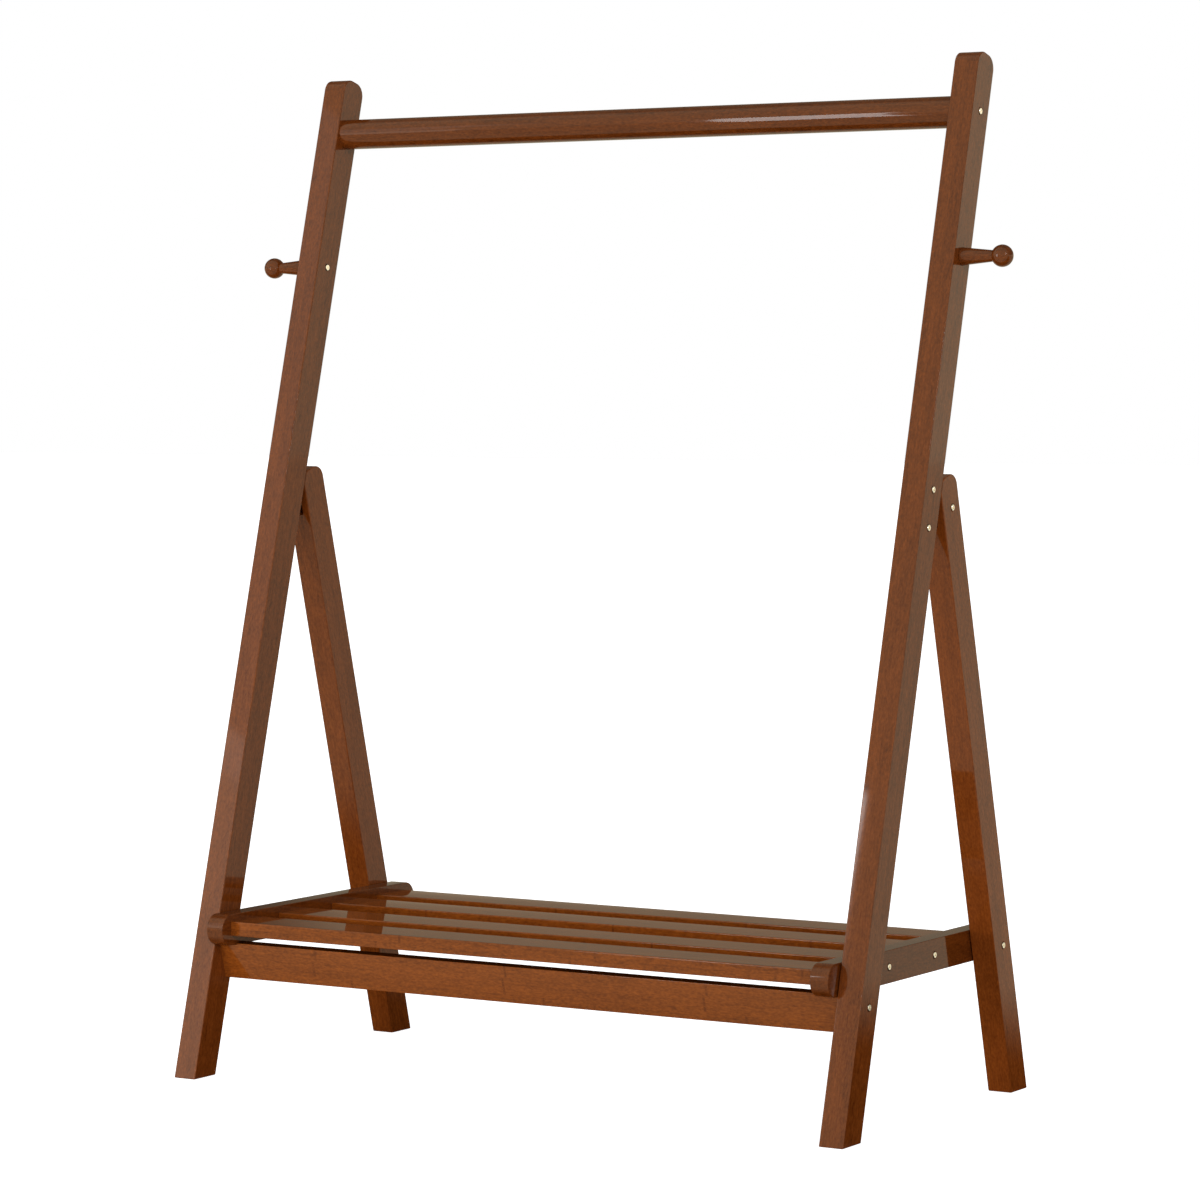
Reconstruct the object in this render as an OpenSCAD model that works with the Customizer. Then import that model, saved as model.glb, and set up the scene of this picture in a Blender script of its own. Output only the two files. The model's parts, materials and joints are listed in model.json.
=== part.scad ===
// Folding clothes rack in lacquered bamboo: two long legs lean back from the front feet,
// two shorter legs lean against them from behind, and a slatted shelf ties the feet together.
// Millimetres. X runs across the rack, Y from front to back, Z up from the floor.
// The origin is on the floor, in the middle of the rack's width and depth.

/* [Overall] */
// Width over the outer faces of the legs
rack_w = 1050; // [700:10:1400]
// Height of the tops of the long legs above the floor
rack_h = 1402; // [1200:1:1800]
// Depth on the floor, from the front of the front feet to the back of the rear feet
foot_depth = 539; // [460:1:620]
// Lean of every leg from upright, in degrees
lean = 15; // [13:0.5:18]

/* [Legs] */
// Width of a leg, across the rack
leg_w = 35; // [30:1:45]
// Depth of a leg, square to its length
leg_d = 48; // [38:1:60]
// Radius of the rounded corners at the top of a leg
end_r = 18; // [6:1:20]
// Depth planed off the rear leg's rounded front corner, so that it bears flat on the long leg
stop_cut = 2.3; // [0:0.1:4]
// How far behind the middle of the rear leg's depth its two bolts sit
rear_bolt_back = 2.5; // [0:0.5:5]

/* [Hanging rod] */
// Diameter of the rod
rod_d = 42.5; // [25:0.5:44]
// Distance from the top of a long leg down to the rod's centre, along the leg
rod_drop = 79.5; // [50:0.5:140]
// Depth of the round housing in each leg that the rod's end sits in
rod_seat = 5; // [3:0.5:8]

/* [Side pegs] */
// Distance from the top of a long leg down to the peg, along the leg
peg_drop = 279; // [200:1:320]
// Distance from the leg's outer face to the centre of the peg's ball
peg_reach = 58; // [40:0.5:90]
// Diameter of the ball at the end of a peg
ball_d = 29.5; // [22:0.5:36]
// Diameter of the peg where it meets the leg
peg_base_d = 24; // [15:0.5:26]
// Diameter of the peg's neck, where it meets the ball
peg_neck_d = 15; // [11:0.5:18]

/* [Shelf] */
// Height of the underside of the side rails above the floor
rail_bottom = 183.5; // [150:0.5:320]
// Height of a side rail
rail_h = 43.5; // [34:0.5:56]
// Thickness of a side rail
rail_t = 26.5; // [20:0.5:35]
// How far a rail stands proud of the long leg, in front
rail_overhang = 27; // [20:1:50]
// How far a rail stands proud of the rear leg, behind
rail_overhang_back = 21.5; // [10:0.5:50]
// Width of a slat, front to back
slat_w = 68.5; // [40:0.5:80]
// Thickness of a slat
slat_t = 20; // [12:1:22]
// Depth of the slats' top face below the top of the rails
slat_drop = 10; // [2:1:12]
// Distance from the rails' front end to the middle of the front slat
slat_front = 55; // [44:1:70]
// Distance from the shelf bolt forward to the middle of the back slat
slat_back = 19; // [13:0.5:40]
// Distance between the middles of an outer slat and the slat next to it
slat_pitch = 114; // [84:1:120]
// Length of the stub tenon at each end of a slat, and depth of its housing in the rail
slat_seat = 5; // [2:0.5:7]
// Width of the shoulder all round a slat's tenon
slat_shoulder = 2; // [1:0.5:2]

/* [Front stretcher] */
// Height of the board, along its own face
board_h = 52.5; // [44:0.5:64]
// Thickness of the board
board_t = 12; // [10:0.5:16]
// How far the back edge of the strip on the board's top rises past the rails' undersides
board_rise = 5; // [4:0.5:8]
// Distance from the board's top edge down to its bolt, along its face
board_bolt_drop = 16.5; // [14:0.5:20]
// Distance from that bolt down to the dowel that stops the board turning
dowel_pitch = 20; // [15:1:25]
// Diameter of the dowel
dowel_d = 6; // [5:0.5:8]
// Length of the dowel, half in the board and half in the leg
dowel_l = 24; // [16:1:40]

/* [Leg hinge] */
// Thickness of the tongue that is let into both legs
tongue_t = 12; // [8:0.5:14]
// Height of the tongue's arm, which is rounded about the pivot
arm_h = 24; // [20:1:28]
// Distance between the two bolts that hold the tongue in the long leg
tongue_pitch = 51; // [40:1:70]
// Wood of the tongue above and below those bolts
tongue_margin = 12; // [9:1:20]
// Wood left in front of the tongue's mortise in the long leg
mortise_wall = 8; // [5:0.5:12]
// Distance from the rear leg's top down to the pivot, along the leg
pivot_drop = 44; // [40:1:60]

/* [Fasteners] */
// Diameter of the bolts
bolt_d = 5; // [4:0.5:6]
// Diameter of the bolt heads
head_d = 8.5; // [7.5:0.5:10]
// Height of the bolt heads
head_h = 5; // [3:0.5:6]
// How far the heads stand proud of the wood
head_proud = 1; // [0:0.25:1.5]
// Space round a head in its counterbore
head_gap = 0.75; // [0.5:0.25:1.5]
// Size across the flats of the hexagon socket
hex_af = 3; // [2.5:0.5:5]
// Diameter of the threaded inserts
insert_d = 8; // [7.5:0.5:9]
// Length of the inserts in the rod, the pegs and the front stretcher
insert_l = 15; // [10:1:20]
// Diameter of the slat screws
screw_d = 4.5; // [3:0.5:6]
// Length of a slat screw below its head
screw_l = 45; // [32:1:60]
// Diameter of the washers between the rails and the rear legs
washer_d = 16; // [12:1:20]
// Thickness of those washers
washer_t = 1.5; // [0.5:0.1:2]

/* [Clearances] */
// Gap at the stops: rear leg to long leg, and side rail to front stretcher
stop_gap = 0.3; // [0.2:0.05:0.6]
// Play beside a moving joint, under the shelf bolt's head and beside the washer
side_play = 0.3; // [0.3:0.05:0.6]
// Radial clearance of a bolt that something turns on
run_gap = 0.06; // [0.02:0.01:0.1]
// Radial clearance of a fixed bolt in its hole
hole_gap = 0.25; // [0.1:0.05:0.5]
// Clearance of a piece that is glued or screwed in its seat
fit_gap = 0.05; // [0.02:0.01:0.1]
// Space all round the tongue in the rear leg's slot, and inside the rails at the stretcher
slot_gap = 0.5; // [0.3:0.05:1]

/* [Hidden] */
$fn = 96;
// Cutters reach this far past the face that they open
cut = 1;
// Wood or metal left at the bottom of a blind hole
blind_wall = 2;
// Free thread between a bolt's tip and the end of its insert
tip_room = 1;
// Chamfer on the bolts' heads and tips
bolt_chamfer = 0.5;
// Depth of the hexagon socket, as a share of the head
socket_share = 0.4;
// Pitch and depth of the ridges round a threaded insert
ridge_pitch = 1.5;
ridge_depth = 0.5;
// Washer's clearance round its bolt
washer_gap = 0.2;

bamboo = "#7c4b2a";
bamboo_light = "#8a5a36";
brass = "#e3cf9b";
zinc = "#b9bcc0";
fibre = "#2b1710";

outer_x = rack_w / 2;
inner_x = outer_x - leg_w;
rail_x = inner_x - washer_t - side_play;
rail_inner_x = rail_x - rail_t;
slat_end_x = rail_inner_x + slat_seat;

// Lines of the two kinds of leg: each point is [depth, height] on the rack, from the place
// across the leg's depth (from its front face) and along its length (from the floor line)
front_y = -foot_depth / 2;
rear_y = foot_depth / 2 - leg_d / cos(lean);
function long_at(across, along) =
    [front_y + across * cos(lean) + along * sin(lean), along * cos(lean) - across * sin(lean)];
function rear_at(across, along) =
    [rear_y + across * cos(lean) - along * sin(lean), along * cos(lean) + across * sin(lean)];
function long_along(height) = (height + leg_d / 2 * sin(lean)) / cos(lean);
function rear_along(height) = (height - rear_bolt_across * sin(lean)) / cos(lean);
rear_bolt_across = leg_d / 2 + rear_bolt_back;

// The long leg ends where its rounded front corner reaches the rack's height
long_l = (rack_h - end_r + end_r * sin(lean)) / cos(lean) + end_r;
// The rear leg ends where its rounded front corner, less its flat, meets the back of the long leg
rear_l = ((rear_y - front_y) * cos(lean) + end_r * cos(2 * lean) - leg_d - end_r - stop_gap + stop_cut)
    / sin(2 * lean) + end_r;

rod_along = long_l - rod_drop;
rod_at = long_at(leg_d / 2, rod_along);
rod_l = 2 * (inner_x + rod_seat);
peg_at = long_at(leg_d / 2, long_l - peg_drop);

// The tongue lies level between the pivot and the middle of its two bolts
pivot_along = rear_l - pivot_drop;
pivot_at = rear_at(rear_bolt_across, pivot_along);
tongue_along = long_along(pivot_at[1]);
tongue_half = tongue_pitch / 2 + tongue_margin;
tongue_root = long_at(leg_d / 2, tongue_along);
tongue_bolts_along = [tongue_along - tongue_pitch / 2, tongue_along + tongue_pitch / 2];
mortise_w = tongue_t + 2 * fit_gap;
slot_w = tongue_t + 2 * slot_gap;
mortise_cheek = (leg_w - mortise_w) / 2;
slot_cheek = (leg_w - slot_w) / 2;

seat = head_h - head_proud;
recess_d = head_d + 2 * head_gap;
hinge_bolt_l = leg_w - seat - blind_wall - tip_room;

rail_mid_z = rail_bottom + rail_h / 2;
rail_front = long_at(0, rail_mid_z / cos(lean))[0] - rail_overhang;
rail_back = rear_at(leg_d, (rail_mid_z - leg_d * sin(lean)) / cos(lean))[0] + rail_overhang_back;
shelf_bolt_at = rear_at(rear_bolt_across, rear_along(rail_mid_z));
rail_insert_l = rail_t - slat_seat - insert_d;
slat_z = rail_bottom + rail_h - slat_drop - slat_t;
slat_first = rail_front + slat_front;
slat_last = shelf_bolt_at[0] - slat_back;
slat_ys = [slat_first, slat_first + slat_pitch, slat_last - slat_pitch, slat_last];

// The stretcher leans as the rear legs do. Its top is planed level to carry the rails, and a
// strip glued on it between them keeps them apart
rest_z = rail_bottom - stop_gap;
board_bolt_z = rest_z + board_rise - board_bolt_drop * cos(lean) - board_t / 2 * sin(lean);
board_bolt_at = long_at(leg_d / 2, long_along(board_bolt_z));
dowel_at = board_bolt_at + dowel_pitch * [sin(lean), -cos(lean)];

// Every paired piece is drawn on the right and mirrored for the left
module on_side(side) {
    mirror([side == "left" ? 1 : 0, 0, 0]) children();
}

// Stands an outline of [depth, height] up in the Y-Z plane and thickens it along +X from x
module upright(x, thick) {
    translate([x, 0, 0]) rotate([90, 0, 90]) linear_extrude(thick) children();
}

// Turns a piece drawn along +Z so that it runs outwards, or inwards, from x at [depth, height]
module outwards(x, at) {
    translate([x, at[0], at[1]]) rotate([0, 90, 0]) children();
}
module inwards(x, at) {
    translate([x, at[0], at[1]]) rotate([0, -90, 0]) children();
}

// A cap-head bolt or screw: head's underside at 0, shank along +Z, hexagon socket in the head
module cap_bolt(length, d, tip) {
    r = d / 2;
    head_r = head_d / 2;
    difference() {
        rotate_extrude() polygon([
            [0, -head_h], [head_r - bolt_chamfer, -head_h], [head_r, bolt_chamfer - head_h],
            [head_r, 0], [r, 0], [r, length - tip], [r - min(tip, r - bolt_chamfer), length],
            [0, length]
        ]);
        translate([0, 0, -head_h - cut])
            cylinder(d = hex_af / cos(30), h = head_h * socket_share + cut, $fn = 6);
    }
}

// The hole for such a bolt: a counterbore down to its seat, then a straight hole
module bolt_hole(length, bore, play = 0) {
    translate([0, 0, -seat - cut]) cylinder(d = recess_d, h = seat + cut + play);
    cylinder(d = bore, h = length);
}

// A ridged insert with a through thread, its open end at 0
module insert(length) {
    bore = bolt_d / 2 + fit_gap;
    crest = insert_d / 2;
    ridges = floor((length - ridge_pitch) / ridge_pitch);
    rotate_extrude() polygon(concat(
        [[bore, 0], [crest, 0]],
        [for (i = [0 : ridges - 1]) each [
            [crest, (i + 0.4) * ridge_pitch + 0.4],
            [crest - ridge_depth, (i + 0.7) * ridge_pitch + 0.4],
            [crest, (i + 1) * ridge_pitch + 0.4]
        ]],
        [[crest, length], [bore, length]]
    ));
}

// The hole that an insert is driven into, and its bolt's tip runs past
module insert_hole(length) {
    translate([0, 0, -cut]) cylinder(d = insert_d + 2 * fit_gap, h = length + cut);
}

// Side view of a leg: square foot cut level with the floor, top with two rounded corners
module leg_outline(length, foot_slope) {
    polygon([[0, 0], [leg_d, leg_d * foot_slope], [leg_d, length - end_r], [0, length - end_r]]);
    for (across = [end_r, leg_d - end_r])
        translate([across, length - end_r]) circle(end_r);
    translate([end_r, length - 2 * end_r]) square([leg_d - 2 * end_r, 2 * end_r]);
}

// Places an outline drawn [across, along] on the long leg, or on the rear leg
module on_long_leg() {
    translate([front_y, 0]) rotate(-lean) children();
}
module on_rear_leg() {
    translate([rear_y, 0]) rotate(lean) children();
}

// A bolt through the outer cheek and the tongue, into an insert in the blind inner cheek
module cheek_bolt_hole(at, cheek, bore) {
    inwards(outer_x - seat, at) bolt_hole(leg_w / 2 - seat, bore);
    inwards(inner_x + cheek, at) insert_hole(cheek - blind_wall);
}
module cheek_bolt(at) {
    color(brass) inwards(outer_x - seat, at) cap_bolt(hinge_bolt_l, bolt_d, bolt_chamfer);
}
module cheek_insert(at, cheek) {
    color(zinc) inwards(inner_x + cheek, at) insert(cheek - blind_wall);
}

module long_leg(side) {
    on_side(side) color(bamboo) difference() {
        upright(inner_x, leg_w) on_long_leg() leg_outline(long_l, tan(lean));
        upright(outer_x - leg_w / 2 - mortise_w / 2, mortise_w) on_long_leg()
            translate([mortise_wall - fit_gap, tongue_along - tongue_half - fit_gap])
                square([leg_d, 2 * (tongue_half + fit_gap)]);
        for (along = tongue_bolts_along)
            cheek_bolt_hole(long_at(leg_d / 2, along), mortise_cheek, bolt_d + 2 * hole_gap);
        outwards(inner_x - cut, rod_at) cylinder(d = rod_d + 2 * fit_gap, h = rod_seat + cut);
        inwards(outer_x - seat, rod_at) bolt_hole(leg_w - seat, bolt_d + 2 * hole_gap);
        inwards(outer_x - seat, board_bolt_at) bolt_hole(leg_w - seat + cut, bolt_d + 2 * hole_gap);
        outwards(inner_x - cut, dowel_at) cylinder(d = dowel_d + 2 * fit_gap, h = dowel_l / 2 + cut);
        outwards(inner_x + seat, peg_at) bolt_hole(leg_w - seat + cut, bolt_d + 2 * hole_gap);
    }
}

module hanging_rod() {
    color(bamboo) difference() {
        outwards(-rod_l / 2, rod_at) cylinder(d = rod_d, h = rod_l);
        outwards(-rod_l / 2, rod_at) insert_hole(insert_l);
        inwards(rod_l / 2, rod_at) insert_hole(insert_l);
    }
}

module rod_bolt(side) {
    on_side(side) color(brass) inwards(outer_x - seat, rod_at)
        cap_bolt(leg_w - rod_seat - seat + insert_l - tip_room, bolt_d, bolt_chamfer);
}

module rod_insert(side) {
    on_side(side) color(zinc) inwards(rod_l / 2, rod_at) insert(insert_l);
}

// Side view of the stretcher, as [depth, height]
module board_outline() {
    translate(board_bolt_at) rotate(lean)
        translate([-board_t / 2, board_bolt_drop - board_h]) square([board_t, board_h]);
}

// Everything over the level on which the rails rest
module over_rest() {
    translate([-outer_x, board_bolt_at[0] - board_h, rest_z]) cube([2 * outer_x, 2 * board_h, board_h]);
}

module front_stretcher() {
    color(bamboo) difference() {
        upright(-inner_x, 2 * inner_x) board_outline();
        over_rest();
        for (side = ["left", "right"]) on_side(side) {
            inwards(inner_x, board_bolt_at) insert_hole(insert_l);
            inwards(inner_x + cut, dowel_at)
                cylinder(d = dowel_d + 2 * fit_gap, h = dowel_l / 2 + cut);
        }
    }
}

module stretcher_strip() {
    strip_x = rail_inner_x - slot_gap;
    color(bamboo) intersection() {
        upright(-strip_x, 2 * strip_x) board_outline();
        over_rest();
    }
}

module stretcher_bolt(side) {
    on_side(side) color(brass) inwards(outer_x - seat, board_bolt_at)
        cap_bolt(leg_w - seat + insert_l - tip_room, bolt_d, bolt_chamfer);
}

module stretcher_insert(side) {
    on_side(side) color(zinc) inwards(inner_x, board_bolt_at) insert(insert_l);
}

module stretcher_dowel(side) {
    on_side(side) color(bamboo_light)
        outwards(inner_x - dowel_l / 2, dowel_at) cylinder(d = dowel_d, h = dowel_l);
}

// A turned peg: a shaft that tapers to its neck, and a ball
module peg(side) {
    ball_r = ball_d / 2;
    neck_r = peg_neck_d / 2;
    neck_at = peg_reach - sqrt(ball_r * ball_r - neck_r * neck_r);
    on_side(side) color(bamboo) difference() {
        outwards(outer_x, peg_at) rotate_extrude() intersection() {
            union() {
                polygon([[0, 0], [peg_base_d / 2, 0], [neck_r, neck_at], [0, neck_at]]);
                translate([0, peg_reach]) circle(ball_r);
            }
            square([ball_r, peg_reach + ball_r]);
        }
        outwards(outer_x, peg_at) insert_hole(insert_l);
    }
}

module peg_bolt(side) {
    on_side(side) color(brass) outwards(inner_x + seat, peg_at)
        cap_bolt(leg_w - seat + insert_l - tip_room, bolt_d, bolt_chamfer);
}

module peg_insert(side) {
    on_side(side) color(zinc) outwards(outer_x, peg_at) insert(insert_l);
}

// A plate held in the long leg's mortise, with a level arm that reaches the pivot
module hinge_tongue(side) {
    on_side(side) color(bamboo_light) difference() {
        upright(outer_x - leg_w / 2 - tongue_t / 2, tongue_t) {
            on_long_leg() translate([mortise_wall, tongue_along - tongue_half])
                square([leg_d - mortise_wall, 2 * tongue_half]);
            translate([tongue_root[0], pivot_at[1] - arm_h / 2])
                square([pivot_at[0] - tongue_root[0], arm_h]);
            translate(pivot_at) circle(d = arm_h);
        }
        for (along = tongue_bolts_along)
            outwards(inner_x, long_at(leg_d / 2, along))
                cylinder(d = bolt_d + 2 * hole_gap, h = leg_w);
        outwards(inner_x, pivot_at) cylinder(d = bolt_d + 2 * run_gap, h = leg_w);
    }
}

module tongue_bolts(side) {
    on_side(side) for (along = tongue_bolts_along) cheek_bolt(long_at(leg_d / 2, along));
}

module tongue_inserts(side) {
    on_side(side) for (along = tongue_bolts_along)
        cheek_insert(long_at(leg_d / 2, along), mortise_cheek);
}

// The room that the tongue's arm sweeps in the rear leg as the rack folds: a round seat at
// the pivot that opens towards the front, by the legs' lean above and below square
module slot_outline() {
    half = arm_h / 2 + slot_gap;
    reach = leg_d;
    on_rear_leg() translate([rear_bolt_across, pivot_along]) {
        circle(half);
        polygon([
            half * [sin(lean), cos(lean)],
            half * [sin(lean), cos(lean)] + reach * [-cos(lean), sin(lean)],
            half * [sin(lean), -cos(lean)] + reach * [-cos(lean), -sin(lean)],
            half * [sin(lean), -cos(lean)]
        ]);
    }
}

module rear_leg(side) {
    on_side(side) color(bamboo) difference() {
        upright(inner_x, leg_w) on_rear_leg() leg_outline(rear_l, -tan(lean));
        upright(inner_x - cut, leg_w + 2 * cut) on_long_leg() translate([0, tongue_along])
            square([leg_d + stop_gap, long_l - tongue_along]);
        upright(outer_x - leg_w / 2 - slot_w / 2, slot_w) slot_outline();
        cheek_bolt_hole(pivot_at, slot_cheek, bolt_d + 2 * fit_gap);
        inwards(outer_x - seat, shelf_bolt_at)
            bolt_hole(leg_w - seat + cut, bolt_d + 2 * run_gap, side_play);
    }
}

module pivot_bolt(side) {
    on_side(side) cheek_bolt(pivot_at);
}

module pivot_insert(side) {
    on_side(side) cheek_insert(pivot_at, slot_cheek);
}

// Side view of a rail: straight edges and half-round ends, as [depth, height]
module rail_outline() {
    r = rail_h / 2;
    for (depth = [rail_front + r, rail_back - r]) translate([depth, rail_mid_z]) circle(r);
    translate([rail_front + r, rail_bottom]) square([rail_back - rail_front - rail_h, rail_h]);
}

// Block about a slat's centre line at depth y, reaching x each way, its section less the margin
module slat_block(y, x, margin) {
    translate([-x, y - slat_w / 2 + margin, slat_z + margin])
        cube([2 * x, slat_w - 2 * margin, slat_t - 2 * margin]);
}

module shelf_rail(side) {
    on_side(side) color(bamboo) difference() {
        upright(rail_inner_x, rail_t) rail_outline();
        for (y = slat_ys) {
            slat_block(y, slat_end_x, slat_shoulder - fit_gap);
            inwards(rail_x - seat, [y, rail_mid_z]) bolt_hole(rail_t - seat, screw_d + 2 * hole_gap);
        }
        inwards(rail_x, shelf_bolt_at) insert_hole(rail_insert_l);
    }
}

module shelf_slat(number) {
    y = slat_ys[number - 1];
    color(bamboo) difference() {
        union() {
            slat_block(y, rail_inner_x - fit_gap, 0);
            slat_block(y, slat_end_x, slat_shoulder);
        }
        for (side = ["left", "right"]) on_side(side)
            inwards(rail_x - seat, [y, rail_mid_z])
                cylinder(d = screw_d + 2 * fit_gap, h = screw_l + fit_gap);
    }
}

module slat_screws(side) {
    on_side(side) color(brass) for (y = slat_ys)
        inwards(rail_x - seat, [y, rail_mid_z]) cap_bolt(screw_l, screw_d, screw_d);
}

module shelf_bolt(side) {
    reach = leg_w - seat + side_play + washer_t + rail_insert_l;
    on_side(side) color(brass)
        inwards(outer_x - seat, shelf_bolt_at) cap_bolt(reach - tip_room, bolt_d, bolt_chamfer);
}

module shelf_insert(side) {
    on_side(side) color(zinc) inwards(rail_x, shelf_bolt_at) insert(rail_insert_l);
}

module shelf_washer(side) {
    on_side(side) color(fibre) difference() {
        outwards(rail_x, shelf_bolt_at) cylinder(d = washer_d, h = washer_t);
        outwards(rail_x - cut, shelf_bolt_at)
            cylinder(d = bolt_d + 2 * washer_gap, h = washer_t + 2 * cut);
    }
}

long_leg("left");  // long_leg_left
long_leg("right");  // long_leg_right
hanging_rod();
front_stretcher();
stretcher_strip();
peg("left");  // peg_left
peg("right");  // peg_right
hinge_tongue("left");  // hinge_tongue_left
hinge_tongue("right");  // hinge_tongue_right
tongue_bolts("left");  // tongue_bolts_left
tongue_bolts("right");  // tongue_bolts_right
tongue_inserts("left");  // tongue_inserts_left
tongue_inserts("right");  // tongue_inserts_right
rod_bolt("left");  // rod_bolt_left
rod_bolt("right");  // rod_bolt_right
rod_insert("left");  // rod_insert_left
rod_insert("right");  // rod_insert_right
peg_bolt("left");  // peg_bolt_left
peg_bolt("right");  // peg_bolt_right
peg_insert("left");  // peg_insert_left
peg_insert("right");  // peg_insert_right
stretcher_bolt("left");  // stretcher_bolt_left
stretcher_bolt("right");  // stretcher_bolt_right
stretcher_insert("left");  // stretcher_insert_left
stretcher_insert("right");  // stretcher_insert_right
stretcher_dowel("left");  // stretcher_dowel_left
stretcher_dowel("right");  // stretcher_dowel_right
rear_leg("left");  // rear_leg_left
rear_leg("right");  // rear_leg_right
pivot_bolt("left");  // pivot_bolt_left
pivot_bolt("right");  // pivot_bolt_right
pivot_insert("left");  // pivot_insert_left
pivot_insert("right");  // pivot_insert_right
shelf_rail("left");  // shelf_rail_left
shelf_rail("right");  // shelf_rail_right
shelf_slat(1);  // shelf_slat_1
shelf_slat(2);  // shelf_slat_2
shelf_slat(3);  // shelf_slat_3
shelf_slat(4);  // shelf_slat_4
shelf_bolt("left");  // shelf_bolt_left
shelf_bolt("right");  // shelf_bolt_right
shelf_insert("left");  // shelf_insert_left
shelf_insert("right");  // shelf_insert_right
shelf_washer("left");  // shelf_washer_left
shelf_washer("right");  // shelf_washer_right
slat_screws("left");  // slat_screws_left
slat_screws("right");  // slat_screws_right
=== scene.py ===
# A folding clothes rack in carbonised, lacquered bamboo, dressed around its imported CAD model.
# Metres. X runs across the rack, Y from front to back, Z up from the floor. Each wooden piece
# is drawn in axes of its own, with Z along its grain, and then set in place.

import json
import math

import bmesh
import bpy
from mathutils import Matrix, Vector

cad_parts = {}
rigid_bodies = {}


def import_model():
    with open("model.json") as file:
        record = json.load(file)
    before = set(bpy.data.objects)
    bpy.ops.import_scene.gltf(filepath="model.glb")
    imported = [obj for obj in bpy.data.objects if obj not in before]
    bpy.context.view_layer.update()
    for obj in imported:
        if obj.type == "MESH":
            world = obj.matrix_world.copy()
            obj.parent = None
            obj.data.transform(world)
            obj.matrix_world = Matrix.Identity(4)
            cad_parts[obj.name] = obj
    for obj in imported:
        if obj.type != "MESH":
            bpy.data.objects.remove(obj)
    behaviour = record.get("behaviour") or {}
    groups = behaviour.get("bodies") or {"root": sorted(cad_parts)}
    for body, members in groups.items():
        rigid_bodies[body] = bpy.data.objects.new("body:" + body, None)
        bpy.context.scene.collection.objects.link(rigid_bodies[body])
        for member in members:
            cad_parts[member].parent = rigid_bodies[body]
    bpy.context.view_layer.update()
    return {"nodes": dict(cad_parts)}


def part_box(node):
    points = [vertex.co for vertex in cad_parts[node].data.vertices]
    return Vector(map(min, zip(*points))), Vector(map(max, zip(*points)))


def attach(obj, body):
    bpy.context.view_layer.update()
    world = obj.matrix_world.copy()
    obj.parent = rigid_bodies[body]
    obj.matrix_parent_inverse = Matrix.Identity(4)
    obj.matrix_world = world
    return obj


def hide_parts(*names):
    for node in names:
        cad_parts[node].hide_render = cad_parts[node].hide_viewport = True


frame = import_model()


# Camera: a long lens in front of the rack and to its right, a little below the middle of
# its height, so that the uprights stay nearly parallel and the shelf is seen from just above.
camera_data = bpy.data.cameras.new("camera")
camera_data.sensor_width = 36
camera_data.lens = 124.79
camera = bpy.data.objects.new("camera", camera_data)
camera.location = (2.95685, -4.87147, 0.96378)
camera.rotation_euler = (math.radians(90 - 2.98), 0, math.radians(31.222))
bpy.context.scene.collection.objects.link(camera)
bpy.context.scene.camera = camera


# Long legs: two straight bars of laminated bamboo that lean back from the front feet. Each is
# milled square with softened arrises and a rounded top, drilled for its bolts, mortised for
# the hinge tongue, stained dark and dipped in glossy lacquer.
lean = math.radians(15)
leg_depth = 0.048
leg_front_y = -0.2695
long_leg_length = 1.455645
top_radius = 0.018
arris = 0.0015
least_arris_angle = math.radians(30)
least_crease_angle = math.radians(35)

recess_radius = 0.005
recess_depth = 0.004
recess_rim = 0.0004
head_radius = 0.00425
bolt_hole = 0.00275
insert_hole = 0.00405
rod_seat_radius = 0.0213
rod_seat_deep = 0.005
dowel_hole = 0.00305
dowel_hole_deep = 0.012
overcut = 0.001

mortise_front = 0.008
mortise_back = leg_depth + 0.002
mortise_half_width = 0.00605
mortise_half_length = 0.03755
tongue_wall = 0.01145
blind_wall = 0.002

strip_wide = 0.0175
strip_thick = 0.0240
strip_spread = 0.12
strip_middle = 0.44
strip_shift = 7.0
knuckle_pitch = 0.31
knuckle_half = 0.0030
knuckle_core = 0.0004
next_cut = Vector((7 * strip_wide, 5 * strip_thick, 0.713))


def wired(tree, kind, inputs, **options):
    """Adds a shader node, sets its options, and fills its inputs with numbers or other sockets."""
    node = tree.nodes.new(kind)
    for option, value in options.items():
        setattr(node, option, value)
    for socket, value in inputs.items():
        if isinstance(value, bpy.types.NodeSocket):
            tree.links.new(value, node.inputs[socket])
        else:
            node.inputs[socket].default_value = value
    return node


def reckoned(tree, operation, *values):
    """One step of arithmetic in a shader tree."""
    return wired(tree, "ShaderNodeMath", dict(enumerate(values)), operation=operation).outputs[0]


def ramp(tree, value, low, high, bottom=0.0, top=1.0, steps="SMOOTHSTEP"):
    """Takes a value from bottom, at low, to top, at high."""
    return wired(tree, "ShaderNodeMapRange", {
        "Value": value, "From Min": low, "From Max": high, "To Min": bottom, "To Max": top},
        interpolation_type=steps).outputs[0]


def noise_at(tree, place, scale, detail, roughness=0.5):
    """Noise of that many lumps to the metre."""
    return wired(tree, "ShaderNodeTexNoise", {
        "Vector": place, "Scale": scale, "Detail": detail, "Roughness": roughness}).outputs[0]


def drawn_out(tree, place, stretch, detail, roughness=0.55):
    """Noise drawn out along the grain: the stretch gives its lumps to the metre along each axis."""
    stretched = wired(tree, "ShaderNodeVectorMath", {0: place, 1: stretch}, operation="MULTIPLY")
    return noise_at(tree, stretched.outputs[0], 1.0, detail, roughness)


def between(tree, share, first, second):
    """The colour at that share of the way from the first to the second."""
    return wired(tree, "ShaderNodeMix", {"Factor": share, 6: first, 7: second},
                 data_type="RGBA").outputs[2]


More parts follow.
